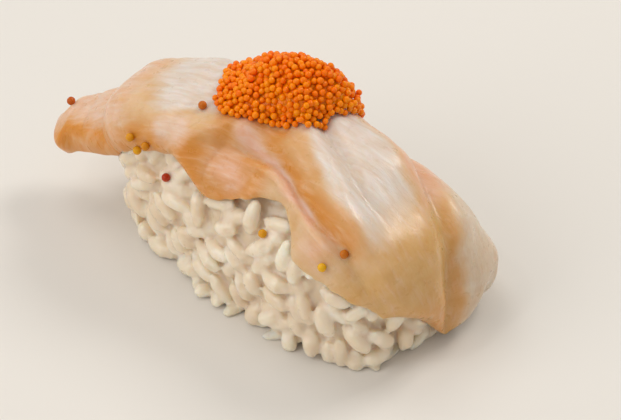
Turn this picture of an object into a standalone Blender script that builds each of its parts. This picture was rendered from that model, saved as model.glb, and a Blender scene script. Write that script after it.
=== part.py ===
"""Shrimp nigiri: a loaf of pressed sushi rice, a peeled shrimp draped over it from end to end, and a
heap of orange roe on the shrimp's back.

Axes: +X runs along the loaf from the shrimp's tail to its broad end, -Y is the side where most rice
shows, +Z is up. The origin is the middle of the rice's flat underside.
"""

import bisect
import math
import random

import bmesh
import bpy
from mathutils import Matrix, Vector, noise
from mathutils.bvhtree import BVHTree

MM = 0.001
CLEARANCE = 0.4 * MM  # between pieces that rest on each other

# The loaf of rice
RICE_HALF_LENGTH = 25.2 * MM
RICE_HALF_WIDTH = 13.8 * MM
RICE_HEIGHT = 22.0 * MM
RICE_WAIST = 8.5 * MM  # height of its widest level
RICE_TUCK = 22.0 * MM  # how slowly it narrows below the waist
RICE_BOXINESS = 3.0  # 2 is an ellipsoid, more is squarer
RICE_TAPER = 0.10  # the broad end is this much wider
RICE_LUMP = 0.05  # share of the radius
RICE_BULGE = 0.13  # share of the radius, at the upper near corner under the tail
RICE_BULGE_WAY = Vector((-0.90, -0.36, 0.22)).normalized()
RICE_HOLLOW = 0.10  # share of the radius, at the upper far corner near the broad end
RICE_HOLLOW_WAY = Vector((0.60, 0.52, 0.60)).normalized()
RICE_RINGS = 12
RICE_SECTORS = 36

# A grain of cooked short-grain rice
GRAIN_LENGTH = 6.0 * MM
GRAIN_WIDTH = 2.8 * MM
GRAIN_SPACING = 3.6 * MM
GRAIN_PROUD = 0.20 * MM  # how far its middle stands off the loaf
GRAIN_SIDES = 5
GRAIN_TRIES = 10  # ways a grain is turned, each sunk deeper, before its place is left empty
GRAIN_SINK = 0.09 * MM
GRAIN_HEADROOM = 2.4 * MM  # grains are left out where the shrimp is closer over the rice than this

# The shrimp: stations along the middle line of its underside, from the tail's tip to the broad end.
# Each is x, y, z, reach of the near edge, reach of the far edge, thickness.
SHRIMP_STATIONS_MM = (
    (-38.4, -9.6, 8.4, 2.7, 2.6, 6.2),
    (-34.2, -8.6, 9.2, 3.7, 3.5, 6.0),
    (-29.0, -6.8, 12.0, 5.3, 4.8, 5.4),
    (-22.5, -4.4, 16.2, 7.4, 5.9, 5.2),
    (-13.0, -1.8, 21.0, 9.2, 7.2, 5.6),
    (-7.0, -0.6, 22.3, 12.8, 7.6, 5.8),
    (-1.0, 0.2, 22.6, 11.6, 8.0, 5.8),
    (6.0, 0.6, 22.2, 10.0, 8.4, 5.8),
    (11.0, 0.8, 21.0, 14.0, 8.8, 5.6),
    (16.0, 1.0, 18.6, 13.8, 9.8, 5.2),
    (22.0, 1.2, 13.0, 10.8, 12.2, 4.8),
    (25.2, 1.4, 7.0, 8.8, 14.8, 4.2),
    (26.4, 1.5, 1.2, 7.0, 14.6, 3.0),
)
# Lines along its back: places along its length, and how far from its middle line, in mm
CREASE = ((0.40, 0.46, 0.56, 0.64, 0.72, 0.82, 1.0), (-8.2, -6.5, -6.3, -8.4, -9.3, -10.0, -10.0))
NEAR_LOBE = ((0.50, 0.59, 0.64, 0.70, 0.76), (-1.0, -2.6, -4.3, -6.6, -7.4))
GROOVE = ((0.52, 0.58, 0.63, 0.70, 0.76), (0.6, -0.4, -1.9, -4.1, -5.0))
FAR_GROOVE = ((0.60, 0.68, 0.733, 0.782, 0.863, 1.0), (8.0, 6.0, 3.6, 1.1, -0.6, -0.4))
SHRIMP_ROWS = 38
SHRIMP_COLUMNS = 18
TAIL_ROUNDING = 0.03  # share of the shrimp's length
SHRIMP_EDGE_LIFT = 0.9 * MM  # height of the rounded rim over the underside
SHRIMP_WRAP = 13.5 * MM  # radius that its sides bend round
SHRIMP_MAX_WRAP = math.radians(84)

# Single eggs that have dropped from the heap, as x, y, z
EGGS_ON_SHRIMP_MM = (
    (-38.6, -9.4, 16.0),
    (-11.7, -7.2, 27.0),
    (-18.6, -13.5, 19.6),
    (-16.9, -13.6, 21.2),
    (-19.4, -14.0, 21.5),
    (17.3, -14.3, 19.2),
    (19.2, -11.8, 21.1),
)
EGGS_ON_RICE_MM = (
    (-13.4, -12.2, 15.8),
    (5.6, -14.2, 18.6),
)
LOOSE_EGG_PROUD = 0.35 * MM

# The heap of roe
ROE_CENTRE = Vector((-4.4, 2.2)) * MM
ROE_REACH_MM = (9.7, 10.9, 8.0, 6.2, 6.2, 6.9, 9.2, 9.8, 10.6, 8.3, 7.3, 9.4)  # every 30 degrees from +X
ROE_HEIGHT = 5.6 * MM
ROE_SUMMIT = (0.66, 0.44)  # how much the heap leans its top along X and Y
ROE_LEVEL = 25.8 * MM  # its top is heaped up from here where the shrimp's back lies lower
ROE_RIM = 0.5 * MM
ROE_BLUFF = 2.0 * MM  # how much higher the rim stands at the steep end of the heap
ROE_BLUFF_TURN = math.radians(38)
ROE_RINGS = 6
ROE_SECTORS = 26
EGG_DIAMETER = 1.3 * MM
EGG_SPACING = 1.60 * MM
EGG_PROUD = 0.12 * MM

RICE_CENTRE = Vector((-0.5 * MM, -0.8 * MM, RICE_WAIST))
UP = Vector((0, 0, 1))
DOWN = Vector((0, 0, -1))


# ---------------------------------------------------------------- helpers


def clear_scene():
    for old in list(bpy.data.objects):
        bpy.data.objects.remove(old)


def material(name, colour, roughness):
    made = bpy.data.materials.new(name)
    made.use_nodes = True
    shader = made.node_tree.nodes["Principled BSDF"]
    shader.inputs["Base Color"].default_value = (*colour, 1)
    shader.inputs["Roughness"].default_value = roughness
    shader.inputs["Metallic"].default_value = 0
    return made


def new_object(name, points, faces, finish):
    """A mesh object with its faces turned outwards."""
    mesh = bpy.data.meshes.new(name)
    mesh.from_pydata([tuple(p) for p in points], [], faces)
    tidy = bmesh.new()
    tidy.from_mesh(mesh)
    bmesh.ops.recalc_face_normals(tidy, faces=tidy.faces)
    tidy.to_mesh(mesh)
    tidy.free()
    mesh.materials.append(finish)
    return bpy.data.objects.new(name, mesh)


def show(obj):
    bpy.context.scene.collection.objects.link(obj)
    return obj


def tree_of(obj):
    """The object's surface, for nearest points and rays."""
    mesh = obj.data
    return BVHTree.FromPolygons([v.co for v in mesh.vertices], [tuple(p.vertices) for p in mesh.polygons])


def fuse(body, pieces):
    """Joins the pieces to the body with one Boolean union, and removes them."""
    group = bpy.data.collections.new(body.name + "_pieces")
    bpy.context.scene.collection.children.link(group)
    for piece in pieces:
        group.objects.link(piece)
    union = body.modifiers.new("union", "BOOLEAN")
    union.operation = "UNION"
    union.operand_type = "COLLECTION"
    union.collection = group
    union.solver = "MANIFOLD"
    bpy.context.view_layer.update()
    evaluated = body.evaluated_get(bpy.context.evaluated_depsgraph_get())
    joined = bpy.data.meshes.new_from_object(evaluated)
    body.modifiers.clear()
    body.data = joined
    for piece in pieces:
        bpy.data.objects.remove(piece)
    bpy.data.collections.remove(group)


def smooth_step(low, high, value):
    """0 below low, 1 above high, and an even slope between them."""
    share = min(1.0, max(0.0, (value - low) / (high - low)))
    return share * share * (3 - 2 * share)


def bump(value, middle, width):
    """A bell of height 1 at the middle."""
    return math.exp(-(((value - middle) / width) ** 2))


def smooth_line(knots, values, at):
    """The value at a place along a line that runs smoothly through values at knots."""
    k = min(len(knots) - 2, max(0, bisect.bisect_right(knots, at) - 1))

    def slope(n):
        before, after = max(0, n - 1), min(len(knots) - 1, n + 1)
        return (values[after] - values[before]) / (knots[after] - knots[before])

    span = knots[k + 1] - knots[k]
    s = (at - knots[k]) / span
    return (
        values[k] * (1 + 2 * s) * (1 - s) ** 2
        + values[k + 1] * s * s * (3 - 2 * s)
        + slope(k) * span * s * (1 - s) ** 2
        - slope(k + 1) * span * s * s * (1 - s)
    )


def spread_points(obj, spacing, draws, rng):
    """Points with normals drawn evenly over the object's faces, none closer than the spacing."""
    mesh = obj.data
    mesh.calc_loop_triangles()
    corners = [[mesh.vertices[v].co for v in t.vertices] for t in mesh.loop_triangles]
    reached = []
    total = 0.0
    for a, b, c in corners:
        total += (b - a).cross(c - a).length
        reached.append(total)
    kept = []
    for _ in range(draws):
        a, b, c = corners[bisect.bisect_left(reached, rng.random() * total)]
        u, v = rng.random(), rng.random()
        if u + v > 1:
            u, v = 1 - u, 1 - v
        place = a + (b - a) * u + (c - a) * v
        if all((place - other).length > spacing for other, _ in kept):
            kept.append((place, (b - a).cross(c - a).normalized()))
    return kept


# ---------------------------------------------------------------- rice


def rice_radius(direction, flat_below=True):
    """How far the loaf reaches from its centre along a unit vector."""
    half_width = RICE_HALF_WIDTH * (1 + RICE_TAPER * direction.x)
    half_height = RICE_HEIGHT - RICE_WAIST if direction.z > 0 else RICE_TUCK
    shares = (direction.x / RICE_HALF_LENGTH, direction.y / half_width, direction.z / half_height)
    reach = sum(abs(s) ** RICE_BOXINESS for s in shares) ** (-1 / RICE_BOXINESS)
    reach *= 1 + RICE_LUMP * noise.noise(direction * 3.0)
    reach *= 1 + RICE_BULGE * bump(direction.angle(RICE_BULGE_WAY), 0, 0.4)
    reach *= 1 - RICE_HOLLOW * bump(direction.angle(RICE_HOLLOW_WAY), 0, 0.45)
    if flat_below and direction.z < 0:
        reach = min(reach, RICE_WAIST / -direction.z)
    return reach


def rice_direction(turn, tilt):
    """A unit vector that is spread evenly over the long loaf, by a turn about Z and a tilt from it."""
    return Vector(
        (
            RICE_HALF_LENGTH * math.sin(tilt) * math.cos(turn),
            RICE_HALF_WIDTH * math.sin(tilt) * math.sin(turn),
            RICE_HALF_WIDTH * math.cos(tilt),
        )
    ).normalized()


def tilt_of_underside(turn):
    """The tilt at which the loaf's side meets the level it rests on."""
    low, high = math.pi / 2, math.pi
    for _ in range(40):
        middle = (low + high) / 2
        direction = rice_direction(turn, middle)
        if -direction.z * rice_radius(direction, flat_below=False) < RICE_WAIST:
            low = middle
        else:
            high = middle
    return (low + high) / 2


def rice_core(finish):
    """The smooth loaf under the grains: rings from its crown down to the flat underside."""
    points = [RICE_CENTRE + UP * rice_radius(UP)]
    for ring in range(1, RICE_RINGS + 1):
        for sector in range(RICE_SECTORS):
            turn = 2 * math.pi * sector / RICE_SECTORS
            direction = rice_direction(turn, tilt_of_underside(turn) * ring / RICE_RINGS)
            place = RICE_CENTRE + direction * rice_radius(direction)
            if ring == RICE_RINGS:
                place.z = 0
            points.append(place)

    def at(ring, sector):
        return 1 + (ring - 1) * RICE_SECTORS + sector % RICE_SECTORS

    faces = [(0, at(1, s), at(1, s + 1)) for s in range(RICE_SECTORS)]
    for ring in range(1, RICE_RINGS):
        for s in range(RICE_SECTORS):
            faces.append((at(ring, s), at(ring + 1, s), at(ring + 1, s + 1), at(ring, s + 1)))
    faces.append([at(RICE_RINGS, s) for s in range(RICE_SECTORS)])
    return new_object("rice", points, faces, finish)


def grain_points(place, along, outward, length, width):
    """A grain as rings round its length, with a point at each end."""
    across = outward.cross(along)
    points = [place - along * (length / 2)]
    for share in (-0.31, 0, 0.31):
        radius = width / 2 * math.sqrt(1 - (2 * share) ** 2)
        bend = outward * (width * 0.10 * (1 - 8 * share**2))
        for side in range(GRAIN_SIDES):
            turn = 2 * math.pi * side / GRAIN_SIDES
            points.append(
                place
                + along * (share * length)
                + bend
                + across * (radius * math.cos(turn))
                + outward * (radius * 0.85 * math.sin(turn))
            )
    points.append(place + along * (length / 2))
    return points


def grain_faces():
    last = 1 + 3 * GRAIN_SIDES

    def at(ring, side):
        return 1 + ring * GRAIN_SIDES + side % GRAIN_SIDES

    faces = []
    for s in range(GRAIN_SIDES):
        faces.append((0, at(0, s), at(0, s + 1)))
        faces.append((last, at(2, s + 1), at(2, s)))
        for ring in range(2):
            faces.append((at(ring, s), at(ring + 1, s), at(ring + 1, s + 1)))
            faces.append((at(ring, s), at(ring + 1, s + 1), at(ring, s + 1)))
    return faces


def rice_grains(core, shrimp_tree, finish, rng):
    """The grains that show on the loaf's open sides, each clear of the shrimp and of the floor."""
    faces = grain_faces()
    grains = []
    for place, outward in spread_points(core, GRAIN_SPACING, 9000, rng):
        if outward.z < -0.9 or shrimp_tree.ray_cast(place, outward, GRAIN_HEADROOM)[0] is not None:
            continue
        for attempt in range(GRAIN_TRIES):
            turn = rng.uniform(0, math.pi)
            lean = rng.uniform(-0.16, 0.16)
            length = GRAIN_LENGTH * rng.uniform(0.88, 1.08)
            width = GRAIN_WIDTH * rng.uniform(0.92, 1.08)
            along = Matrix.Rotation(turn, 3, outward) @ outward.orthogonal().normalized()
            along = (along + outward * lean).normalized()
            out = (outward - along * outward.dot(along)).normalized()
            middle = place + outward * (GRAIN_PROUD - GRAIN_SINK * attempt)
            points = grain_points(middle, along, out, length, width)
            nearest = min(shrimp_tree.find_nearest(p)[3] for p in points)
            lowest = min(p.z for p in points)
            if nearest > CLEARANCE and lowest > 0:
                grains.append(new_object(f"grain_{len(grains)}", points, faces, finish))
                break
    return grains


# ---------------------------------------------------------------- shrimp


def shrimp_knots():
    """The share of the shrimp's length at which each station lies."""
    reached = [0.0]
    for a, b in zip(SHRIMP_STATIONS_MM, SHRIMP_STATIONS_MM[1:]):
        reached.append(reached[-1] + (Vector(b[:3]) - Vector(a[:3])).length)
    return [r / reached[-1] for r in reached]


KNOTS = shrimp_knots()
COLUMNS_MM = list(zip(*SHRIMP_STATIONS_MM))


def middle_line(share):
    return Vector([smooth_line(KNOTS, COLUMNS_MM[k], share) for k in range(3)]) * MM


def shrimp_size(share, column):
    return smooth_line(KNOTS, COLUMNS_MM[column], share) * MM


def shrimp_frame(share):
    """The middle line's point, its direction, the way across to the far side, and the way out."""
    step = 0.004
    place = middle_line(share)
    along = (middle_line(min(1, share + step)) - middle_line(max(0, share - step))).normalized()
    axis_x = max(-10 * MM, min(10 * MM, place.x))
    away = place - Vector((axis_x, 0, RICE_WAIST))
    out = (away - along * away.dot(along)).normalized()
    return place, along, out.cross(along), out


def end_share(across):
    """Where the broad end stops. It is cut back at the near edge and notched between its lobes."""
    near_cut = 0.13 * smooth_step(0.0, 1.0, -across)
    notch = 0.035 * bump(across, 0.40, 0.12)
    far_cut = 0.02 * smooth_step(0.7, 1.0, across)
    return 1 - near_cut - notch - far_cut


def line_at(line, share):
    """A line's distance from the shrimp's middle line, held still beyond its ends."""
    knots, values = line
    return smooth_line(knots, values, min(knots[-1], max(knots[0], share)))


def window(share, start, full, fade, end):
    """1 between full and fade, 0 outside start and end."""
    return smooth_step(start, full, share) * (1 - smooth_step(fade, end, share))


def shrimp_relief(share, across):
    """What is added to the shrimp's thickness, in millimetres: its lobes, folds and grooves.

    across is the distance from the middle line in millimetres, the far side positive.
    """
    body = smooth_step(0.38, 0.47, share)
    front = smooth_step(0.78, 0.92, share)
    thickness = smooth_line(KNOTS, COLUMNS_MM[5], share)
    crease = line_at(CREASE, share)
    flap = -(thickness - 2.3) * (1 - smooth_step(crease - 0.8, crease + 2.4, across)) * body
    rim = 0.8 * bump(across, crease - 1.3, 0.8) * window(share, 0.46, 0.52, 0.68, 0.74)
    near_lobe = 0.9 * bump(across, line_at(NEAR_LOBE, share), 1.5) * window(share, 0.50, 0.58, 0.70, 0.78)
    groove = -1.1 * bump(across, line_at(GROOVE, share), 0.8) * window(share, 0.52, 0.60, 0.70, 0.77)
    far_lobe = 0.5 * bump(across, 1.4, 2.4) * window(share, 0.50, 0.60, 0.68, 0.76)
    far_fall = -0.45 * thickness * smooth_step(2.5, 9.0, across) * (1 - front)
    end_lobe = 1.8 * bump(across, 6.8, 4.4) * front
    far_groove = -2.0 * bump(across, line_at(FAR_GROOVE, share), 1.5) * smooth_step(0.60, 0.70, share)
    rings = 0.22 * math.sin(share * 2 * math.pi * 9)
    return flap + rim + near_lobe + groove + far_lobe + far_fall + end_lobe + far_groove + rings


def clear_of_rice(place):
    """The place itself, or the nearest one outwards that is clear of the loaf and of the floor."""
    away = place - RICE_CENTRE
    direction = away.normalized()
    reach = rice_radius(direction) + CLEARANCE * 1.4
    if away.length < reach:
        place = RICE_CENTRE + direction * reach
    place.z = max(place.z, CLEARANCE)
    return place


def shrimp_point(row, column, upper):
    """A point of the shrimp's upper or lower face."""
    even = row / SHRIMP_ROWS
    along = 0.6 * even + 0.4 * (1 - math.cos(math.pi * even)) / 2
    across = math.sin(math.pi * (column / SHRIMP_COLUMNS - 0.5))
    share = along * end_share(across) + (1 - along) * TAIL_ROUNDING * abs(across) ** 3
    place, _, side, out = shrimp_frame(share)
    reach = shrimp_size(share, 3 if across < 0 else 4)
    reach *= 1 + 0.06 * noise.noise(Vector((share * 9, math.copysign(2, across), 0)))
    offset = across * reach
    radius = SHRIMP_WRAP * (1 + 0.8 * smooth_step(0.78, 0.95, share))
    wrap = max(-SHRIMP_MAX_WRAP, min(SHRIMP_MAX_WRAP, offset / radius))
    hang = abs(offset) - abs(wrap) * radius
    outward = out * math.cos(wrap) + side * math.sin(wrap)
    base = place + side * (radius * math.sin(wrap)) - out * (radius * (1 - math.cos(wrap)) + hang)
    base = clear_of_rice(base)
    rounding = math.sqrt(max(0, (1 - abs(across) ** 5) * (1 - abs(2 * along - 1) ** 16)))
    if not upper:
        return base + outward * (SHRIMP_EDGE_LIFT * (1 - rounding))
    thickness = shrimp_size(share, 5) + shrimp_relief(share, offset / MM) * MM
    return base + outward * (SHRIMP_EDGE_LIFT + (thickness - SHRIMP_EDGE_LIFT) * rounding)


def shrimp_body(finish):
    """The shrimp as two grids, its upper and lower faces, that share their rim."""
    points = []
    upper, lower = {}, {}
    for row in range(SHRIMP_ROWS + 1):
        for column in range(SHRIMP_COLUMNS + 1):
            upper[row, column] = lower[row, column] = len(points)
            points.append(shrimp_point(row, column, True))
            if 0 < row < SHRIMP_ROWS and 0 < column < SHRIMP_COLUMNS:
                lower[row, column] = len(points)
                points.append(shrimp_point(row, column, False))
    faces = []
    for row in range(SHRIMP_ROWS):
        for column in range(SHRIMP_COLUMNS):
            square = [(row, column), (row + 1, column), (row + 1, column + 1), (row, column + 1)]
            faces.append([upper[s] for s in square])
            faces.append([lower[s] for s in reversed(square)])
    return new_object("shrimp", points, faces, finish)


# ---------------------------------------------------------------- roe


def roe_reach(turn):
    """How far the heap spreads from its centre, by the turn from +X."""
    knots = list(range(-1, len(ROE_REACH_MM) + 2))
    values = [ROE_REACH_MM[k % len(ROE_REACH_MM)] for k in knots]
    return smooth_line(knots, values, turn / (2 * math.pi) * len(ROE_REACH_MM)) * MM


def roe_core(shrimp_tree, finish):
    """The heap under its eggs: an uneven dome whose underside follows the shrimp's back."""
    sky = 60 * MM

    def point(share, sector, upper):
        turn = 2 * math.pi * sector / ROE_SECTORS
        way = Vector((math.cos(turn), math.sin(turn)))
        x, y = ROE_CENTRE + way * share * roe_reach(turn)
        back = shrimp_tree.ray_cast(Vector((x, y, sky)), DOWN)[0].z
        lean = 1 + share * way.dot(Vector(ROE_SUMMIT))
        edge = ROE_RIM + ROE_BLUFF * bump(turn, ROE_BLUFF_TURN, 0.45)
        dome = edge + (ROE_HEIGHT - edge) * lean * (1 - share**2) ** 0.95
        return Vector((x, y, max(back, ROE_LEVEL) + CLEARANCE + dome if upper else back + CLEARANCE))

    points = [point(0, 0, True), point(0, 0, False)]
    for ring in range(1, ROE_RINGS + 1):
        share = math.sin(math.pi / 2 * ring / ROE_RINGS)
        for sector in range(ROE_SECTORS):
            points += [point(share, sector, True), point(share, sector, False)]

    def at(ring, sector, under):
        return 2 * (1 + (ring - 1) * ROE_SECTORS + sector % ROE_SECTORS) + under

    faces = []
    for s in range(ROE_SECTORS):
        for under in (0, 1):
            faces.append((under, at(1, s, under), at(1, s + 1, under)))
            for ring in range(1, ROE_RINGS):
                inner = (at(ring, s + 1, under), at(ring, s, under))
                outer = (at(ring + 1, s, under), at(ring + 1, s + 1, under))
                faces.append(inner + outer)
        rim = ROE_RINGS
        faces.append((at(rim, s, 0), at(rim, s, 1), at(rim, s + 1, 1), at(rim, s + 1, 0)))
    return new_object("roe", points, faces, finish)


def egg(name, place, finish, rng):
    """One egg, as a ball of twenty faces."""
    ball = bmesh.new()
    bmesh.ops.create_icosphere(ball, subdivisions=1, radius=EGG_DIAMETER / 2)
    spin = Matrix.Rotation(rng.uniform(0, 2 * math.pi), 4, Vector((rng.random(), rng.random(), 1)))
    bmesh.ops.transform(ball, matrix=Matrix.Translation(place) @ spin, verts=ball.verts)
    mesh = bpy.data.meshes.new(name)
    ball.to_mesh(mesh)
    ball.free()
    mesh.materials.append(finish)
    return bpy.data.objects.new(name, mesh)


def loose_eggs(tree, places, finish, rng):
    """Single eggs, each set on the nearest point of a surface."""
    eggs = []
    for place in places:
        near, outward, _, _ = tree.find_nearest(Vector(place) * MM)
        eggs.append(egg(f"loose_egg_{len(eggs)}", near + outward * LOOSE_EGG_PROUD, finish, rng))
    return eggs


def roe_eggs(core, shrimp_tree, finish, rng):
    """The eggs that show on the heap, each clear of the shrimp."""
    eggs = []
    for place, outward in spread_points(core, EGG_SPACING, 9000, rng):
        middle = place + outward * EGG_PROUD
        if shrimp_tree.find_nearest(middle)[3] > EGG_DIAMETER / 2 + CLEARANCE / 2 and outward.z > -0.5:
            eggs.append(egg(f"egg_{len(eggs)}", middle, finish, rng))
    return eggs


# ---------------------------------------------------------------- the nigiri


def main():
    clear_scene()
    rng = random.Random(11)
    rice_finish = material("rice", (0.82, 0.76, 0.64), 0.45)
    shrimp_finish = material("shrimp", (0.86, 0.66, 0.52), 0.35)
    roe_finish = material("roe", (0.85, 0.22, 0.01), 0.3)

    shrimp = show(shrimp_body(shrimp_finish))
    fuse(shrimp, loose_eggs(tree_of(shrimp), EGGS_ON_SHRIMP_MM, shrimp_finish, rng))
    shrimp_tree = tree_of(shrimp)

    rice = show(rice_core(rice_finish))
    fuse(rice, rice_grains(rice, shrimp_tree, rice_finish, rng))
    fuse(rice, loose_eggs(tree_of(rice), EGGS_ON_RICE_MM, rice_finish, rng))

    roe = show(roe_core(shrimp_tree, roe_finish))
    fuse(roe, roe_eggs(roe, shrimp_tree, roe_finish, rng))

    for obj in (rice, shrimp, roe):
        obj.data.shade_smooth()


main()
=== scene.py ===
"""The looks of a shrimp nigiri: sticky rice grains, a wet translucent shrimp and glossy orange roe."""

import bisect
import math
import random

import bmesh
import bpy
import numpy as np
from mathutils import Matrix, Vector, kdtree, noise
from mathutils.bvhtree import BVHTree


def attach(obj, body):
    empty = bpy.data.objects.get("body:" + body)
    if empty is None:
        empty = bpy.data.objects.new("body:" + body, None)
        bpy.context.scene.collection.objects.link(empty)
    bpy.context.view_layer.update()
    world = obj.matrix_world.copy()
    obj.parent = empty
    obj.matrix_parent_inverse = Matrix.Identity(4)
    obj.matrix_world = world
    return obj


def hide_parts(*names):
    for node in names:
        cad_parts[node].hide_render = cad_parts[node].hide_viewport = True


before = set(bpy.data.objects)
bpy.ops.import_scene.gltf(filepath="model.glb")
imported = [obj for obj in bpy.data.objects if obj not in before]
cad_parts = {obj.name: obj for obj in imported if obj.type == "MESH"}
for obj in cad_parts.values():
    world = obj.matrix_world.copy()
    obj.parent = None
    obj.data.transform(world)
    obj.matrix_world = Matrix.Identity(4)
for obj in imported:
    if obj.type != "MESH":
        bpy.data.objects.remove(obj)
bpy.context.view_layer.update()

MM = 0.001
CLEARANCE = 0.4 * MM

# The solids' own shapes, as in the part's source
RICE_HALF_LENGTH = 25.2 * MM
RICE_HALF_WIDTH = 13.8 * MM
RICE_HEIGHT = 22.0 * MM
RICE_WAIST = 8.5 * MM
RICE_TUCK = 22.0 * MM
RICE_BOXINESS = 3.0
RICE_TAPER = 0.10
RICE_LUMP = 0.05
RICE_BULGE = 0.13
RICE_BULGE_WAY = Vector((-0.90, -0.36, 0.22)).normalized()
RICE_HOLLOW = 0.10
RICE_HOLLOW_WAY = Vector((0.60, 0.52, 0.60)).normalized()
RICE_CENTRE = Vector((-0.5 * MM, -0.8 * MM, RICE_WAIST))
SHRIMP_STATIONS_MM = (
    (-38.4, -9.6, 8.4, 2.7, 2.6, 6.2),
    (-34.2, -8.6, 9.2, 3.7, 3.5, 6.0),
    (-29.0, -6.8, 12.0, 5.3, 4.8, 5.4),
    (-22.5, -4.4, 16.2, 7.4, 5.9, 5.2),
    (-13.0, -1.8, 21.0, 9.2, 7.2, 5.6),
    (-7.0, -0.6, 22.3, 12.8, 7.6, 5.8),
    (-1.0, 0.2, 22.6, 11.6, 8.0, 5.8),
    (6.0, 0.6, 22.2, 10.0, 8.4, 5.8),
    (11.0, 0.8, 21.0, 14.0, 8.8, 5.6),
    (16.0, 1.0, 18.6, 13.8, 9.8, 5.2),
    (22.0, 1.2, 13.0, 10.8, 12.2, 4.8),
    (25.2, 1.4, 7.0, 8.8, 14.8, 4.2),
    (26.4, 1.5, 1.2, 7.0, 14.6, 3.0),
)
TAIL_ROUNDING = 0.03
SHRIMP_EDGE_LIFT = 0.9 * MM
SHRIMP_WRAP = 13.5 * MM
SHRIMP_MAX_WRAP = math.radians(84)
ROE_CENTRE = Vector((-4.4, 2.2)) * MM
ROE_REACH_MM = (9.7, 10.9, 8.0, 6.2, 6.2, 6.9, 9.2, 9.8, 10.6, 8.3, 7.3, 9.4)
ROE_HEIGHT = 5.6 * MM
ROE_SUMMIT = Vector((0.66, 0.44))
ROE_LEVEL = 25.8 * MM
ROE_RIM = 0.5 * MM
ROE_BLUFF = 2.0 * MM
ROE_BLUFF_TURN = math.radians(38)
EGGS_ON_SHRIMP = (  # each one's place in mm, and how ripe it is, from red to yellow
    ((-38.6, -9.4, 16.0), 0.15),
    ((-11.7, -7.2, 27.0), 0.25),
    ((-18.6, -13.5, 19.6), 0.8),
    ((-16.9, -13.6, 21.2), 0.5),
    ((-19.4, -14.0, 21.5), 0.6),
    ((17.3, -14.3, 19.2), 1.0),
    ((19.2, -11.8, 21.1), 0.3),
)
EGGS_ON_RICE = (((-13.4, -12.2, 15.8), 0.0), ((5.6, -14.2, 18.6), 0.7))

# Lines along the shrimp's back: places along its length, and how far from its middle line, in mm
CREASE = ((0.40, 0.46, 0.56, 0.64, 0.72, 0.82, 1.0), (-8.2, -6.5, -6.3, -8.4, -9.3, -10.0, -10.0))
NEAR_LOBE = ((0.50, 0.59, 0.64, 0.70, 0.76), (-1.0, -2.6, -4.3, -6.6, -7.4))
GROOVE = ((0.52, 0.58, 0.63, 0.70, 0.76), (0.6, -0.4, -1.9, -4.1, -5.0))
FAR_GROOVE = ((0.60, 0.68, 0.733, 0.782, 0.863, 1.0), (8.0, 6.0, 3.6, 1.1, -0.6, -0.4))
# Lines between its colours, on the same measures
PINK_STRIPE = (
    (0.44, 0.476, 0.502, 0.542, 0.593, 0.649, 0.70),
    (-4.2, -4.9, -5.6, -6.5, -7.9, -9.3, -10.2),
)
WHITE_NEAR_EDGE = (
    (0.55, 0.584, 0.612, 0.654, 0.691, 0.737, 0.77),
    (-2.4, -3.2, -4.2, -6.1, -6.8, -7.3, -7.0),
)
WHITE_FAR_EDGE = ((0.60, 0.661, 0.705, 0.744, 0.774), (3.2, 2.4, 0.7, -0.4, -3.4))

# How fine the pieces are made
SHRIMP_ROWS = 280
SHRIMP_COLUMNS = 110
GRAIN_LENGTH_MM = (4.9, 6.1)
GRAIN_WIDTH_MM = (2.2, 2.75)
GRAIN_LAYERS_MM = ((0.1, 2.1), (-0.2, 1.7), (-0.45, 1.4))  # how proud, and how far apart
RICE_CORE_DEPTH = 0.95 * MM
RICE_VOXEL = 0.33 * MM  # grains stick together where they are closer than this
EGG_RADIUS = 0.5 * MM
LOOSE_EGG_RADIUS = 0.65 * MM
SHRIMP_LENGTH_MM = 84  # along its bent middle line, for the scale of its fibres and streaks
MISSES_PER_LAYER = 1200  # grains tried in vain before a layer is full
LARGEST_PATCH = 26e-4  # of the loaf's surface, in square metres, that one way out can stand for
EGG_MISSES = 2500  # eggs tried in vain before the heap is full
FLOOR_PRESS = 0.5 * MM  # over which a grain that reaches the floor is pressed flat
ROE_RAGGED_SEED = 64.6  # which of the noise's patterns the heap's ragged rim follows

DOWN = Vector((0, 0, -1))


# ---------------------------------------------------------------- helpers


def smooth_step(low, high, value):
    share = min(1.0, max(0.0, (value - low) / (high - low)))
    return share * share * (3 - 2 * share)


def bump(value, middle, width):
    return math.exp(-(((value - middle) / width) ** 2))


def smooth_line(knots, values, at):
    k = min(len(knots) - 2, max(0, bisect.bisect_right(knots, at) - 1))

    def slope(n):
        before, after = max(0, n - 1), min(len(knots) - 1, n + 1)
        return (values[after] - values[before]) / (knots[after] - knots[before])

    span = knots[k + 1] - knots[k]
    s = (at - knots[k]) / span
    return (
        values[k] * (1 + 2 * s) * (1 - s) ** 2
        + values[k + 1] * s * s * (3 - 2 * s)
        + slope(k) * span * s * (1 - s) ** 2
        - slope(k + 1) * span * s * s * (1 - s)
    )


def line_at(line, share):
    """A line's distance from the shrimp's middle line, held still beyond its ends."""
    knots, values = line
    return smooth_line(knots, values, min(knots[-1], max(knots[0], share)))


def window(share, start, full, fade, end):
    return smooth_step(start, full, share) * (1 - smooth_step(fade, end, share))


def piece(name, points, faces, finish, node):
    """A smooth piece that stands for a CAD node."""
    mesh = bpy.data.meshes.new(name)
    mesh.from_pydata([tuple(p) for p in points], [], faces)
    mesh.validate()
    mesh.shade_smooth()
    mesh.materials.append(finish)
    obj = bpy.data.objects.new(name, mesh)
    bpy.context.scene.collection.objects.link(obj)
    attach(obj, "root")
    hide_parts(node)
    return obj


def turned_out(obj):
    """Turns every face of a closed piece outwards."""
    tidy = bmesh.new()
    tidy.from_mesh(obj.data)
    bmesh.ops.recalc_face_normals(tidy, faces=tidy.faces)
    tidy.to_mesh(obj.data)
    tidy.free()


def store(obj, name, values):
    """Keeps one number per vertex, for the material to read."""
    made = obj.data.attributes.new(name, "FLOAT", "POINT")
    made.data.foreach_set("value", np.asarray(values, dtype=np.float32))


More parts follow.
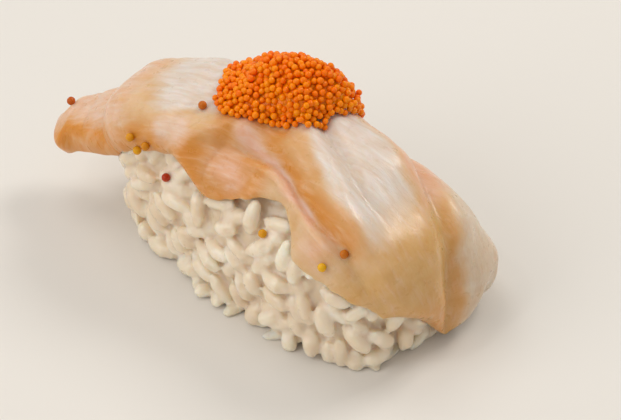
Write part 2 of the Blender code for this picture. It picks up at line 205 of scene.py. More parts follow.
def tree_of(obj):
    mesh = obj.data
    faces = [tuple(p.vertices) for p in mesh.polygons]
    return BVHTree.FromPolygons([v.co for v in mesh.vertices], faces)


# ---------------------------------------------------------------- material nodes


class Nodes:
    """Short words for building one material's node tree."""

    def __init__(self, name):
        self.material = bpy.data.materials.new(name)
        self.material.use_nodes = True
        self.tree = self.material.node_tree
        self.shader = self.tree.nodes["Principled BSDF"]

    def add(self, kind, **settings):
        node = self.tree.nodes.new(kind)
        for key, value in settings.items():
            setattr(node, key, value)
        return node

    def plug(self, value, socket):
        if isinstance(value, bpy.types.NodeSocket):
            self.tree.links.new(value, socket)
        else:
            socket.default_value = value

    def attribute(self, name):
        return self.add("ShaderNodeAttribute", attribute_name=name).outputs["Fac"]

    def place(self):
        return self.add("ShaderNodeTexCoord").outputs["Object"]

    def joined(self, x, y, z):
        node = self.add("ShaderNodeCombineXYZ")
        for socket, value in zip(node.inputs, (x, y, z)):
            self.plug(value, socket)
        return node.outputs[0]

    def noise(self, where, scale, detail=3.0, roughness=0.5, distortion=0.0):
        node = self.add("ShaderNodeTexNoise")
        self.plug(where, node.inputs["Vector"])
        node.inputs["Scale"].default_value = scale
        node.inputs["Detail"].default_value = detail
        node.inputs["Roughness"].default_value = roughness
        node.inputs["Distortion"].default_value = distortion
        return node.outputs["Fac"]

    def maths(self, operation, a, b=0.0, clamp=False):
        node = self.add("ShaderNodeMath", operation=operation, use_clamp=clamp)
        self.plug(a, node.inputs[0])
        self.plug(b, node.inputs[1])
        return node.outputs[0]

    def spread(self, value, low, high, to_low=0.0, to_high=1.0):
        node = self.add("ShaderNodeMapRange")
        self.plug(value, node.inputs["Value"])
        node.inputs["From Min"].default_value = low
        node.inputs["From Max"].default_value = high
        node.inputs["To Min"].default_value = to_low
        node.inputs["To Max"].default_value = to_high
        return node.outputs["Result"]

    def mix(self, share, a, b):
        node = self.add("ShaderNodeMix", data_type="RGBA")
        self.plug(share, node.inputs["Factor"])
        for value, socket in ((a, node.inputs["A"]), (b, node.inputs["B"])):
            self.plug((*value, 1) if isinstance(value, tuple) else value, socket)
        return node.outputs["Result"]

    def bump(self, height, strength, distance, under=None):
        node = self.add("ShaderNodeBump")
        node.inputs["Strength"].default_value = strength
        node.inputs["Distance"].default_value = distance
        self.plug(height, node.inputs["Height"])
        if under is not None:
            self.plug(under, node.inputs["Normal"])
        return node.outputs["Normal"]

    def set(self, **values):
        for key, value in values.items():
            self.plug(value, self.shader.inputs[key.replace("_", " ")])


def rgb(red, green, blue):
    """A colour as it looks on screen, 0 to 255, in the linear form that materials take."""

    def linear(value):
        value /= 255
        return value / 12.92 if value <= 0.04045 else ((value + 0.055) / 1.055) ** 2.4

    return linear(red), linear(green), linear(blue)


# ---------------------------------------------------------------- rice


def rice_radius(direction):
    """How far the loaf reaches from its centre in a direction."""
    half_width = RICE_HALF_WIDTH * (1 + RICE_TAPER * direction.x)
    half_height = RICE_HEIGHT - RICE_WAIST if direction.z > 0 else RICE_TUCK
    shares = (direction.x / RICE_HALF_LENGTH, direction.y / half_width, direction.z / half_height)
    reach = sum(abs(s) ** RICE_BOXINESS for s in shares) ** (-1 / RICE_BOXINESS)
    reach *= 1 + RICE_LUMP * noise.noise(direction * 3.0)
    reach *= 1 + RICE_BULGE * bump(direction.angle(RICE_BULGE_WAY), 0, 0.4)
    reach *= 1 - RICE_HOLLOW * bump(direction.angle(RICE_HOLLOW_WAY), 0, 0.45)
    if direction.z < 0:
        reach = min(reach, RICE_WAIST / -direction.z)
    return reach


def rice_material():
    n = Nodes("rice")
    where = n.place()
    tint = n.attribute("tint")
    crevice_shade = n.attribute("crevice_shade")
    cloud = n.noise(where, 420, 3)
    base = n.mix(tint, rgb(232, 214, 188), rgb(245, 233, 213))
    base = n.mix(n.spread(cloud, 0.5, 0.75), base, rgb(249, 242, 228))
    # painted shade: where the skin lies sunk below the loaf's outline, in the crevices between grains,
    # the colour is mixed towards a darker tan
    base = n.mix(n.spread(crevice_shade, 0.3, 1.0), base, rgb(221, 195, 159))
    base = n.mix(n.spread(n.noise(where, 95, 2), 0.42, 0.66, 0.0, 0.5), base, rgb(224, 201, 171))
    grainy = n.bump(n.noise(where, 1700, 4, 0.6), 0.2, 0.0002)
    grainy = n.bump(n.noise(where, 480, 2), 0.35, 0.0005, grainy)
    n.set(
        Base_Color=base,
        Roughness=n.spread(n.noise(where, 600, 2), 0.3, 0.7, 0.25, 0.45),
        Normal=grainy,
        Subsurface_Weight=0.85,
        Subsurface_Radius=(1.0, 0.8, 0.55),
        Subsurface_Scale=0.0018,
        Specular_IOR_Level=0.5,
        Coat_Weight=0.5,
        Coat_Roughness=0.12,
    )
    return n.material


def grain_mesh():
    """A grain of cooked rice, 1 long and 1 across, lying along X, with blunt ends and a germ's notch."""
    rings, sides = 8, 10
    points = [Vector((-0.5, 0, 0))]
    for ring in range(1, rings):
        x = -math.cos(math.pi * ring / rings)
        fat = (1 - abs(x) ** 2.6) ** 0.5
        for side in range(sides):
            turn = 2 * math.pi * side / sides
            spot = Vector((x, fat * math.cos(turn), fat * math.sin(turn) * 0.88)) / 2
            notch = bump(x, 0.85, 0.3) * max(0, math.sin(turn))
            points.append(spot * (1 - 0.35 * notch))
    points.append(Vector((0.5, 0, 0)))
    last = len(points) - 1

    def at(ring, side):
        return 1 + (ring - 1) * sides + side % sides

    faces = []
    for s in range(sides):
        faces.append((0, at(1, s + 1), at(1, s)))
        faces.append((last, at(rings - 1, s), at(rings - 1, s + 1)))
        for ring in range(1, rings - 1):
            faces.append((at(ring, s), at(ring, s + 1), at(ring + 1, s + 1), at(ring + 1, s)))
    return points, faces


def loaf_surface(rng):
    """A place on the loaf drawn evenly over it, and the way out of it there."""
    slim, step = 0.62, 0.02  # fewer directions are drawn across the loaf than along it
    while True:
        way = Vector([rng.gauss(0, 1) for _ in range(3)])
        way = Vector((way.x, way.y * slim, way.z * slim)).normalized()
        place = way * rice_radius(way)
        side = way.orthogonal().normalized()
        other = way.cross(side)
        nearby = [(way + aside * step).normalized() for aside in (side, other)]
        a, b = [w * rice_radius(w) - place for w in nearby]
        out = a.cross(b)
        # patches that the even spread of directions reaches too seldom are kept more often
        spread = step * step * (way.x**2 + (way.y / slim) ** 2 + (way.z / slim) ** 2) ** 1.5
        if rng.random() * LARGEST_PATCH < out.length / spread:
            out.normalize()
            return RICE_CENTRE + place, out if out.dot(way) > 0 else -out


def grain_spots(shrimp_tree, rng):
    """Where each grain lies: its middle, its length's way, the loaf's way out there, and its layer."""

    def covered(place, out):
        """Whether the shrimp hides this place and all that is near it."""
        side = out.orthogonal().normalized() * (3 * MM)
        steps = (side, -side, out.cross(side), -out.cross(side))
        return all(shrimp_tree.ray_cast(place + step, out, 6 * MM)[0] for step in steps)

    spots = []
    taken = np.zeros((0, 3))
    for layer, (proud, spacing) in enumerate(GRAIN_LAYERS_MM):
        missed = 0
        while missed < MISSES_PER_LAYER:
            missed += 1
            place, out = loaf_surface(rng)
            if covered(place, out):
                continue
            centre = place + out * (proud + rng.uniform(-0.2, 0.2)) * MM
            side = out.orthogonal().normalized()
            ways, beads = [], []
            for _ in range(10):
                along = Matrix.Rotation(rng.uniform(0, math.pi), 3, out) @ side
                along = (along + out * rng.uniform(-0.2, 0.2)).normalized()
                ways.append(along)
                beads.append([tuple(centre + along * (s * MM)) for s in (-2, -1, 0, 1, 2)])
            beads = np.array(beads)
            near = taken[((taken - beads[0, 2]) ** 2).sum(1) < (5 * MM) ** 2]
            best = 0
            if len(near):
                gaps = ((beads[:, :, None] - near[None, None]) ** 2).sum(3).min((1, 2)) ** 0.5
                best = int(gaps.argmax())
                if gaps[best] < spacing * MM:
                    continue
            taken = np.vstack((taken, beads[best]))
            spots.append((centre, ways[best], out, layer))
            missed = 0
    return spots


def skin_of(points, faces, voxel):
    """The one skin round bodies that stick together, softened in the creases where they touch."""
    mesh = bpy.data.meshes.new("loose")
    mesh.from_pydata([tuple(p) for p in points], [], faces)
    obj = bpy.data.objects.new("loose", mesh)
    bpy.context.scene.collection.objects.link(obj)
    remesh = obj.modifiers.new("stick", "REMESH")
    remesh.mode = "VOXEL"
    remesh.voxel_size = voxel
    soften = obj.modifiers.new("soften", "SMOOTH")
    soften.factor = 0.3
    soften.iterations = 1
    depsgraph = bpy.context.evaluated_depsgraph_get()
    skin = bpy.data.meshes.new_from_object(obj.evaluated_get(depsgraph))
    skin_points = [v.co.copy() for v in skin.vertices]
    skin_faces = [tuple(p.vertices) for p in skin.polygons]
    bpy.data.objects.remove(obj)
    bpy.data.meshes.remove(mesh)
    bpy.data.meshes.remove(skin)
    return skin_points, skin_faces


def rice_piece(shrimp_tree, rng):
    """The loaf: layers of grains pressed and stuck together by hand."""
    shape, shape_faces = grain_mesh()
    shape = np.array([tuple(p) for p in shape])
    points, faces = [], []

    core = bmesh.new()
    bmesh.ops.create_icosphere(core, subdivisions=5, radius=1)
    core.verts.ensure_lookup_table()
    for vert in core.verts:
        way = vert.co.normalized()
        points.append(tuple(RICE_CENTRE + way * (rice_radius(way) - RICE_CORE_DEPTH)))
    faces += [tuple(v.index for v in f.verts) for f in core.faces]
    core.free()

    spots = grain_spots(shrimp_tree, rng)
    marks = kdtree.KDTree(5 * len(spots))
    tone_and_shade = []
    for centre, along, out, layer in spots:
        length = rng.uniform(*GRAIN_LENGTH_MM) * MM
        width = rng.uniform(*GRAIN_WIDTH_MM) * MM
        up = (out - along * out.dot(along)).normalized()
        across = up.cross(along) * rng.choice((-1, 1))
        bend = rng.uniform(-0.6, 1.0) * MM
        fat = 1 + 0.12 * np.sin(shape[:, 0] * rng.uniform(2, 5) + rng.uniform(0, 6))
        body = (
            np.array(tuple(centre))
            + np.outer(shape[:, 0] * length * rng.choice((-1, 1)), tuple(along))
            + np.outer(shape[:, 1] * width * fat, tuple(across))
            + np.outer(shape[:, 2] * width * fat + bend * (0.08 - shape[:, 0] ** 2), tuple(up))
        )
        start = len(points)
        points += [tuple(p) for p in body]
        faces += [tuple(start + i for i in f) for f in shape_faces]
        for step in (-0.36, -0.18, 0, 0.18, 0.36):
            marks.insert(centre + along * length * step, len(tone_and_shade))
        # each grain's tone is random, but grains of the sunk layers are kept darker as painted shade in
        # the gaps between the grains above them
        tone_and_shade.append(rng.random() * (1 - 0.25 * layer))
    marks.balance()
    # what would reach below the floor is pressed flat on it
    points = [(x, y, (z + math.hypot(z, FLOOR_PRESS)) / 2) for x, y, z in points]
    points, faces = skin_of(points, faces, RICE_VOXEL)

    tint, crevice_shade = [], []
    for point in points:
        away = point - RICE_CENTRE
        way = away.normalized()
        hit = shrimp_tree.ray_cast(RICE_CENTRE, way)[0]
        if hit is not None:
            room = (hit - RICE_CENTRE).length - 0.15 * MM
            if away.length > room:
                point.xyz = RICE_CENTRE + way * room
        point.z = max(point.z, 0.02 * MM)
        # painted shade: how far the point lies sunk below the loaf's outline, for a darker colour in the
        # crevices
        crevice_shade.append((rice_radius(way) - (point - RICE_CENTRE).length) / MM / 1.6)
        tint.append(tone_and_shade[marks.find(point)[1]])
    obj = piece("rice_grains", points, faces, rice_material(), "rice")
    store(obj, "tint", tint)
    store(obj, "crevice_shade", crevice_shade)
    return obj


# ---------------------------------------------------------------- shrimp


def shrimp_knots():
    reached = [0.0]
    for a, b in zip(SHRIMP_STATIONS_MM, SHRIMP_STATIONS_MM[1:]):
        reached.append(reached[-1] + (Vector(b[:3]) - Vector(a[:3])).length)
    return [r / reached[-1] for r in reached]


KNOTS = shrimp_knots()
COLUMNS_MM = list(zip(*SHRIMP_STATIONS_MM))


def middle_line(share):
    return Vector([smooth_line(KNOTS, COLUMNS_MM[k], share) for k in range(3)]) * MM


def shrimp_size(share, column):
    return smooth_line(KNOTS, COLUMNS_MM[column], share) * MM


def shrimp_frame(share):
    step = 0.004
    place = middle_line(share)
    along = (middle_line(min(1, share + step)) - middle_line(max(0, share - step))).normalized()
    axis_x = max(-10 * MM, min(10 * MM, place.x))
    away = place - Vector((axis_x, 0, RICE_WAIST))
    out = (away - along * away.dot(along)).normalized()
    return place, along, out.cross(along), out


def end_share(across):
    near_cut = 0.13 * smooth_step(0.0, 1.0, -across)
    notch = 0.035 * bump(across, 0.40, 0.12)
    far_cut = 0.02 * smooth_step(0.7, 1.0, across)
    return 1 - near_cut - notch - far_cut


def shrimp_relief(share, across):
    """What is added to the shrimp's thickness, in millimetres: its lobes, folds and grooves."""
    body = smooth_step(0.38, 0.47, share)
    front = smooth_step(0.78, 0.92, share)
    thickness = smooth_line(KNOTS, COLUMNS_MM[5], share)
    crease = line_at(CREASE, share)
    relief = -(thickness - 2.3) * (1 - smooth_step(crease - 0.8, crease + 2.4, across)) * body
    relief += 0.8 * bump(across, crease - 1.3, 0.8) * window(share, 0.46, 0.52, 0.68, 0.74)
    relief -= 0.35 * bump(across, crease - 0.2, 0.5) * window(share, 0.50, 0.56, 0.74, 0.82)
    relief += 0.9 * bump(across, line_at(NEAR_LOBE, share), 1.5) * window(share, 0.50, 0.58, 0.70, 0.78)
    relief -= 1.1 * bump(across, line_at(GROOVE, share), 0.8) * window(share, 0.52, 0.60, 0.70, 0.77)
    relief += 0.5 * bump(across, 1.4, 2.4) * window(share, 0.50, 0.60, 0.68, 0.76)
    relief -= 0.45 * thickness * smooth_step(2.5, 9.0, across) * (1 - front)
    relief += 1.8 * bump(across, 6.8, 4.4) * front
    relief -= 2.0 * bump(across, line_at(FAR_GROOVE, share), 1.5) * smooth_step(0.60, 0.70, share)
    relief += 0.22 * math.sin(share * 2 * math.pi * 9)
    return relief


def fine_relief(share, across):
    """The small unevenness of wet flesh, in millimetres."""
    length = share * SHRIMP_LENGTH_MM
    flow = Vector((length / 7.0, across / 2.2, 3.1))
    fibre = Vector((length / 3.2, across / 0.7, 7.7))
    lumps = Vector((length / 2.6, across / 2.6, 1.3))
    thin = smooth_step(-6.0, -10.0, across) if share > 0.45 else smooth_step(0.74, 0.84, share)
    segment = 0.0
    for ring in (0.105, 0.205, 0.285, 0.375, 0.465):
        segment -= 0.18 * bump(share + 0.0006 * across * across * 0.35, ring, 0.0065)
    segment *= 1 - smooth_step(0.44, 0.50, share)
    return (
        0.26 * noise.noise(flow)
        + 0.07 * noise.noise(fibre)
        + (0.10 + 0.30 * thin) * noise.noise(lumps)
        + segment
    )


def clear_of_rice(place):
    away = place - RICE_CENTRE
    direction = away.normalized()
    reach = rice_radius(direction) + CLEARANCE * 1.4
    if away.length < reach:
        place = RICE_CENTRE + direction * reach
    place.z = max(place.z, CLEARANCE)
    return place


def shrimp_spot(even, across, upper):
    """A point of the shrimp's upper or lower face, with how far along and across it lies."""
    along = 0.6 * even + 0.4 * (1 - math.cos(math.pi * even)) / 2
    share = along * end_share(across) + (1 - along) * TAIL_ROUNDING * abs(across) ** 3
    place, _, side, out = shrimp_frame(share)
    reach = shrimp_size(share, 3 if across < 0 else 4)
    reach *= 1 + 0.06 * noise.noise(Vector((share * 9, math.copysign(2, across), 0)))
    reach *= 1 + 0.03 * noise.noise(Vector((share * 38, math.copysign(5, across), 0))) * abs(across)
    offset = across * reach
    radius = SHRIMP_WRAP * (1 + 0.8 * smooth_step(0.78, 0.95, share))
    wrap = max(-SHRIMP_MAX_WRAP, min(SHRIMP_MAX_WRAP, offset / radius))
    hang = abs(offset) - abs(wrap) * radius
    outward = out * math.cos(wrap) + side * math.sin(wrap)
    base = place + side * (radius * math.sin(wrap)) - out * (radius * (1 - math.cos(wrap)) + hang)
    base = clear_of_rice(base)
    rounding = math.sqrt(max(0, (1 - abs(across) ** 5) * (1 - abs(2 * along - 1) ** 16)))
    lift = SHRIMP_EDGE_LIFT
    if not upper:
        return base + outward * (lift * (1 - rounding)), share, offset / MM
    flesh = shrimp_relief(share, offset / MM) + fine_relief(share, offset / MM) * rounding
    thickness = shrimp_size(share, 5) + flesh * MM
    return base + outward * (lift + (thickness - lift) * rounding), share, offset / MM


def shrimp_colours(share, across, upper):
    """How white, orange, pink, grey and tan the flesh is at a place, each from 0 to 1. The orange and
    tan also hold painted shade on the tail's underside, in the far groove and at the front end.
    """
    across += 0.6 * noise.noise(Vector((share * 30, across * 0.5, 4.0)))
    share += 0.006 * noise.noise(Vector((share * 25, across * 0.6, 9.0)))
    stripe, near_edge = line_at(PINK_STRIPE, share), line_at(WHITE_NEAR_EDGE, share)
    far_edge, valley = line_at(WHITE_FAR_EDGE, share), line_at(FAR_GROOVE, share) + 1.0

    tail_edge = max(-5.2, -5.2 + 25 * (share - 0.35))
    tail = window(share + 0.006 * min(0, across), 0.280, 0.325, 0.44, 0.50)
    tail *= smooth_step(tail_edge - 0.8, tail_edge + 0.8, across)
    lobes = smooth_step(near_edge - 0.5, near_edge + 0.7, across)
    lobes *= 1 - smooth_step(far_edge - 0.6, far_edge + 1.0, across)
    lobes *= window(share, 0.50, 0.545, 0.712, 0.772)
    lobes *= 1 - 0.2 * bump(across, line_at(GROOVE, share), 0.7) * window(share, 0.56, 0.60, 0.68, 0.73)

    # the tail's lower side is orange: partly its own colour, partly painted shade on the side turned
    # from the light
    tail_line = -min(7.0, 28 * share - 0.4)
    tail_low = smooth_step(tail_line + 1.5, tail_line - 1.3, across)
    tail_low *= 1 - smooth_step(0.42, 0.48, share)
    # the tail's upper side is paler and pinker: partly its own colour, partly painted light where the
    # lamps fall on it
    tail_top = (1 - smooth_step(0.25, 0.32, share)) * (1 - tail_low)
    pale = bump(across, -6.7, 1.3) * window(share, 0.335, 0.355, 0.385, 0.41)
    white = max(tail, lobes, 0.2 * tail_top, 0.5 * pale)

    orange = smooth_step(stripe + 0.2, stripe + 0.8, across)
    orange *= 1 - 0.6 * smooth_step(stripe + 1.4, stripe + 3.0, across)
    orange *= 1 - smooth_step(near_edge - 0.9, near_edge + 0.4, across)
    orange *= window(share, 0.52, 0.55, 0.71, 0.76)
    flap = smooth_step(stripe - 0.8, stripe - 2.2, across) * window(share, 0.40, 0.44, 0.52, 0.57)
    under_roe = window(share, 0.41, 0.45, 0.54, 0.58) * smooth_step(-2.2, -4.0, across)
    # painted shade: orange along the bottom of the far groove
    groove_shade = 0.3 * bump(across, valley, 0.9) * smooth_step(0.72, 0.78, share)
    # painted shade: the near side of the front tip is made more orange and darker
    end = 0.6 * smooth_step(0.84, 0.93, share) * (1 - smooth_step(-2, 1, across))
    golden = bump(share, 0.312, 0.03) * smooth_step(-5.4, -7.2, across)
    orange = max(orange, tail_low * (1 - 0.8 * pale), golden, 0.55 * flap, 0.85 * under_roe, groove_shade, end)

    stripe_width = 0.68 + 0.6 * (1 - smooth_step(0.48, 0.535, share))
    pink = bump(across, stripe, stripe_width) * window(share, 0.455, 0.475, 0.65, 0.70)
    far_rim = 0.8 * smooth_step(far_edge + 0.2, far_edge + 1.4, across)
    far_rim *= window(share, 0.56, 0.6, 0.73, 0.78)
    flap_pink = 0.8 * bump(across, stripe - 4.2, 1.8) * bump(share, 0.485, 0.04)
    low_pink = 0.6 * bump(across, -11.0, 1.8) * bump(share, 0.69, 0.025)
    pink = max(pink, 0.65 * tail_top, far_rim, flap_pink, low_pink, 0.7 * pale)
    orange *= 1 - 0.8 * bump(across, stripe, stripe_width) * window(share, 0.455, 0.475, 0.65, 0.70)

    grey = smooth_step(0.74, 0.80, share) * smooth_step(valley + 0.3, valley + 1.8, across)
    # the front part on the near side of the far groove is tan: partly the flesh's own translucent tan,
    # partly painted shade
    tan = smooth_step(0.735, 0.79, share) * (1 - smooth_step(valley - 0.2, valley + 1.2, across))
    if not upper:
        return 0.25, 0.3, 0.3, 0.0, 0.0
    pink *= (1 - 0.8 * lobes) * (1 - 0.8 * golden)
    return white, orange * (1 - 0.6 * white), pink, grey, tan * (1 - white)


def shrimp_material():
    n = Nodes("shrimp")
    length, across = n.attribute("length"), n.attribute("across")
    where = n.joined(length, across, 0.0)
    flow = n.joined(n.maths("MULTIPLY", length, 0.22), across, 0.0)
    streaks = n.noise(flow, 1.5, 4, 0.6, 0.4)
    fine_streaks = n.noise(flow, 4.5, 3, 0.6)
    cloud = n.noise(where, 0.35, 3, 0.6)
    flesh = n.mix(n.spread(cloud, 0.35, 0.7), rgb(216, 172, 116), rgb(226, 192, 150))
    orange = n.mix(n.spread(streaks, 0.35, 0.7), rgb(210, 133, 26), rgb(222, 153, 66))
    pink = n.mix(n.spread(streaks, 0.3, 0.7), rgb(230, 172, 134), rgb(236, 196, 174))
    white = n.mix(n.spread(streaks, 0.35, 0.75), rgb(219, 201, 184), rgb(231, 222, 214))
    grey = n.mix(n.spread(cloud, 0.3, 0.7), rgb(210, 182, 150), rgb(222, 204, 182))
    tan = n.mix(n.spread(cloud, 0.3, 0.7), rgb(208, 160, 90), rgb(218, 177, 120))

    def uneven(mask):
        return n.maths("ADD", n.attribute(mask), n.spread(streaks, 0.3, 0.7, -0.1, 0.1), clamp=True)

    # the orange and tan masks hold painted shade as well as the flesh's own colours
    base = n.mix(uneven("tan"), flesh, tan)
    base = n.mix(uneven("orange"), base, orange)
    base = n.mix(uneven("pink"), base, pink)
    base = n.mix(uneven("grey"), base, grey)
    base = n.mix(uneven("white"), base, white)
    bumps = n.bump(fine_streaks, 0.22, 0.0003)
    bumps = n.bump(streaks, 0.25, 0.0007, bumps)
    n.set(
        Base_Color=base,
        Roughness=n.spread(n.noise(where, 0.9, 3), 0.3, 0.7, 0.24, 0.42),
        Normal=bumps,
        Subsurface_Weight=0.6,
        Subsurface_Radius=(1.0, 0.62, 0.40),
        Subsurface_Scale=0.0022,
        Specular_IOR_Level=0.4,
        Coat_Weight=0.25,
        Coat_Roughness=0.18,
    )
    return n.material


def shrimp_piece():
    """The shrimp's upper and lower faces, which share their rim."""
    points, marks = [], []
    upper, lower = {}, {}
    rows, columns = SHRIMP_ROWS, SHRIMP_COLUMNS
    for row in range(rows + 1):
        for column in range(columns + 1):
            across = math.sin(math.pi * (column / columns - 0.5))
            inside = 0 < row < rows and 0 < column < columns
            upper[row, column] = lower[row, column] = len(points)
            spot, share, offset = shrimp_spot(row / rows, across, True)
            points.append(spot)
            marks.append((share * SHRIMP_LENGTH_MM, offset, *shrimp_colours(share, offset, True)))
            if inside:
                lower[row, column] = len(points)
                spot, share, offset = shrimp_spot(row / rows, across, False)
                points.append(spot)
                marks.append((share * SHRIMP_LENGTH_MM, offset, *shrimp_colours(share, offset, False)))
    faces = []
    for row in range(rows):
        for column in range(columns):
            square = [(row, column), (row + 1, column), (row + 1, column + 1), (row, column + 1)]
            faces.append([upper[s] for s in square])
            faces.append([lower[s] for s in reversed(square)])
    obj = piece("shrimp_flesh", points, faces, shrimp_material(), "shrimp")
    turned_out(obj)
    for name, values in zip(("length", "across", "white", "orange", "pink", "grey", "tan"), zip(*marks)):
        store(obj, name, values)
    return obj


# ---------------------------------------------------------------- roe


def egg_material(name, dark, light):
    n = Nodes(name)
    where = n.place()
    base = n.mix(n.attribute("tint"), dark, light)
    n.set(
        Base_Color=base,
        Roughness=n.spread(n.noise(where, 900, 2), 0.3, 0.7, 0.14, 0.28),
        Subsurface_Weight=0.45,
        Subsurface_Radius=(1.0, 0.55, 0.15),
        Subsurface_Scale=0.0008,
        Specular_IOR_Level=0.18,
        Coat_Weight=0.10,
        Coat_Roughness=0.08,
    )
    return n.material


def roe_reach(turn):
    knots = list(range(-1, len(ROE_REACH_MM) + 2))
    values = [ROE_REACH_MM[k % len(ROE_REACH_MM)] for k in knots]
    return smooth_line(knots, values, turn / (2 * math.pi) * len(ROE_REACH_MM)) * MM


def ball():
    """An egg of radius 1."""
    made = bmesh.new()
    bmesh.ops.create_uvsphere(made, u_segments=12, v_segments=8, radius=1)
    made.verts.ensure_lookup_table()
    points = np.array([tuple(v.co) for v in made.verts])
    # sorted, because Blender gives these faces in an order that varies from run to run
    faces = sorted(tuple(v.index for v in f.verts) for f in made.faces)
    made.free()
    return points, faces


def roe_piece(shrimp_tree, rng):
    """The heap: eggs in layers over a small soft core, with a ragged rim."""
    shape, shape_faces = ball()
    points, faces, tint = [], [], []

    def spot(share, turn, sink):
        """A place in the heap, sunk below its skin but no deeper than the shrimp's back."""
        way = Vector((math.cos(turn), math.sin(turn)))
        x, y = ROE_CENTRE + way * share * roe_reach(turn)
        hit = shrimp_tree.ray_cast(Vector((x, y, 60 * MM)), DOWN)[0]
        if hit is None:
            return None
        lean = 1 + share * way.dot(ROE_SUMMIT)
        edge = ROE_RIM + ROE_BLUFF * bump(turn, ROE_BLUFF_TURN, 0.45)
        lump = 0.9 * MM * noise.noise(Vector((x, y, 0.02)) * 300)
        dome = edge + ((ROE_HEIGHT - edge) * lean + lump) * max(0, 1 - share**2) ** 0.95
        top = max(hit.z, ROE_LEVEL) + dome if share < 1 else hit.z + dome
        return Vector((x, y, max(hit.z + CLEARANCE / 2, top - sink)))

    # the core, whose underside lies on the shrimp
    rings, sectors = 10, 48
    grid = {}
    for upper in (True, False):
        for ring in range(rings + 1):
            for sector in range(sectors):
                if upper or ring < rings:
                    turn = 2 * math.pi * sector / sectors
                    place = spot(0.9 * ring / rings, turn, 0.3 * MM if upper else math.inf)
                    grid[upper, ring, sector] = len(points)
                    points.append(tuple(place))
                    tint.append(0.5)
                else:
                    grid[upper, ring, sector] = grid[True, ring, sector]
    for ring in range(rings):
        for s in range(sectors):
            for upper in (True, False):
                around = [(ring, s), (ring + 1, s), (ring + 1, s + 1), (ring, s + 1)]
                corners = [grid[upper, r, k % sectors] for r, k in around]
                faces.append(corners if upper else corners[::-1])

    # the eggs
    taken = np.zeros((0, 3))
    missed = 0
    while missed < EGG_MISSES:
        missed += 1
        turn = rng.uniform(0, 2 * math.pi)
        place_on_rim = Vector((2.4 * math.cos(turn), 2.4 * math.sin(turn), ROE_RAGGED_SEED))
        share = math.sqrt(rng.random()) * (0.98 + 0.08 * noise.noise(place_on_rim))
        radius = EGG_RADIUS * rng.uniform(0.88, 1.08)
        steep = smooth_step(0.8, 1.0, share) * bump(turn, ROE_BLUFF_TURN, 0.6)
        centre = spot(share, turn, rng.uniform(-0.5, 1.1) * MM + rng.random() * steep * ROE_BLUFF)
        if centre is None:
            continue
        near, way, _, gap = shrimp_tree.find_nearest(centre)
        if gap < radius + 0.02 * MM:
            centre = near + way * (radius + 0.02 * MM)
        here = np.array(tuple(centre))
        if len(taken) and np.sqrt(((taken - here) ** 2).sum(1).min()) < 1.6 * EGG_RADIUS:
            continue
        taken = np.vstack((taken, here))
        start = len(points)
        points += [tuple(p) for p in here + shape * radius]
        faces += [tuple(start + i for i in f) for f in shape_faces]
        tint += [rng.random()] * len(shape)
        missed = 0
    finish = egg_material("roe", rgb(248, 116, 0), rgb(255, 146, 0))
    obj = piece("roe_eggs", points, faces, finish, "roe")
    store(obj, "tint", tint)
    return obj


def loose_eggs(name, tree, eggs, node):
    """Single dropped eggs that lie on a surface."""
    shape, shape_faces = ball()
    points, faces, tint = [], [], []
    for place, ripe in eggs:
        near, out, _, _ = tree.find_nearest(Vector(place) * MM)
        start = len(points)
        centre = np.array(tuple(near + out * LOOSE_EGG_RADIUS * 0.7))
        points += [tuple(p) for p in centre + shape * LOOSE_EGG_RADIUS]
        faces += [tuple(start + i for i in f) for f in shape_faces]
        tint += [ripe] * len(shape)
    finish = egg_material(name, rgb(178, 58, 22), rgb(232, 178, 26))
    obj = piece(name, points, faces, finish, node)
    store(obj, "tint", tint)
    return obj


# ---------------------------------------------------------------- the scene


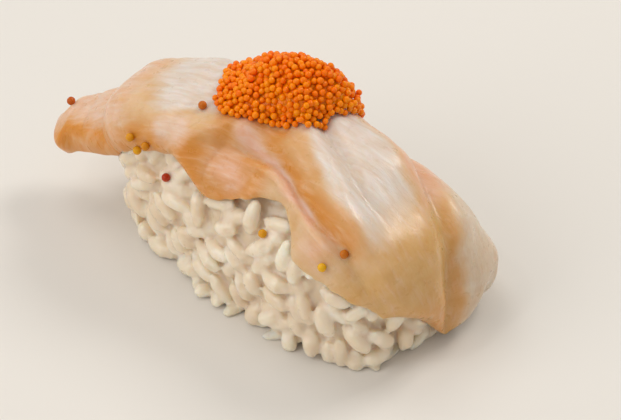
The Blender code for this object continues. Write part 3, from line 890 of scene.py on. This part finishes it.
def main():
    rng = random.Random(5)
    shrimp = shrimp_piece()
    shrimp_tree = tree_of(shrimp)
    rice = rice_piece(shrimp_tree, rng)
    roe_piece(shrimp_tree, rng)
    loose_eggs("eggs_on_shrimp", shrimp_tree, EGGS_ON_SHRIMP, "shrimp")
    loose_eggs("eggs_on_rice", tree_of(rice), EGGS_ON_RICE, "rice")

    # The floor
    bpy.ops.mesh.primitive_plane_add(size=3, location=(0, 0, 0))
    floor = bpy.context.object
    floor.name = "floor"
    n = Nodes("floor")
    n.set(Base_Color=(0.80, 0.77, 0.72, 1), Roughness=0.6, Specular_IOR_Level=0.3)
    floor.data.materials.append(n.material)

    # Soft studio light
    bpy.context.scene.view_settings.view_transform = "Standard"
    world = bpy.data.worlds.new("studio")
    bpy.context.scene.world = world
    world.use_nodes = True
    world.node_tree.nodes["Background"].inputs[0].default_value = (1.0, 0.97, 0.93, 1)
    world.node_tree.nodes["Background"].inputs[1].default_value = 0.50

    def lamp(name, place, size, power, colour):
        light = bpy.data.lights.new(name, "AREA")
        light.energy = power
        light.size = size
        light.color = colour
        obj = bpy.data.objects.new(name, light)
        bpy.context.scene.collection.objects.link(obj)
        obj.location = place
        obj.rotation_euler = (Vector((0, 0, 0.015)) - Vector(place)).to_track_quat("-Z", "Y").to_euler()

    lamp("key", (0.10, 0.42, 0.50), 0.22, 1.35, (1.0, 0.97, 0.93))
    lamp("fill", (-0.20, -0.45, 0.35), 0.45, 1.15, (1.0, 0.98, 0.96))
    lamp("glint", (-0.10, -0.30, 0.60), 0.06, 0.16, (1.0, 1.0, 1.0))
    lamp("top", (-0.25, 0.05, 0.60), 0.30, 0.6, (1.0, 0.98, 0.96))

    # The camera, at the photograph's angle
    azimuth, elevation, distance = math.radians(42), math.radians(43), 0.600
    back = Vector(
        (
            math.sin(azimuth) * math.cos(elevation),
            -math.cos(azimuth) * math.cos(elevation),
            math.sin(elevation),
        )
    )
    right = Vector((math.cos(azimuth), math.sin(azimuth), 0))
    above = back.cross(right)
    target = right * (1.7 * MM) + above * (6.9 * MM)
    data = bpy.data.cameras.new("camera")
    data.sensor_width = 36
    data.lens = 238
    data.clip_start = 0.01
    camera = bpy.data.objects.new("camera", data)
    bpy.context.scene.collection.objects.link(camera)
    camera.location = target + back * distance
    camera.rotation_euler = (-back).to_track_quat("-Z", "Y").to_euler()
    bpy.context.scene.camera = camera


main()
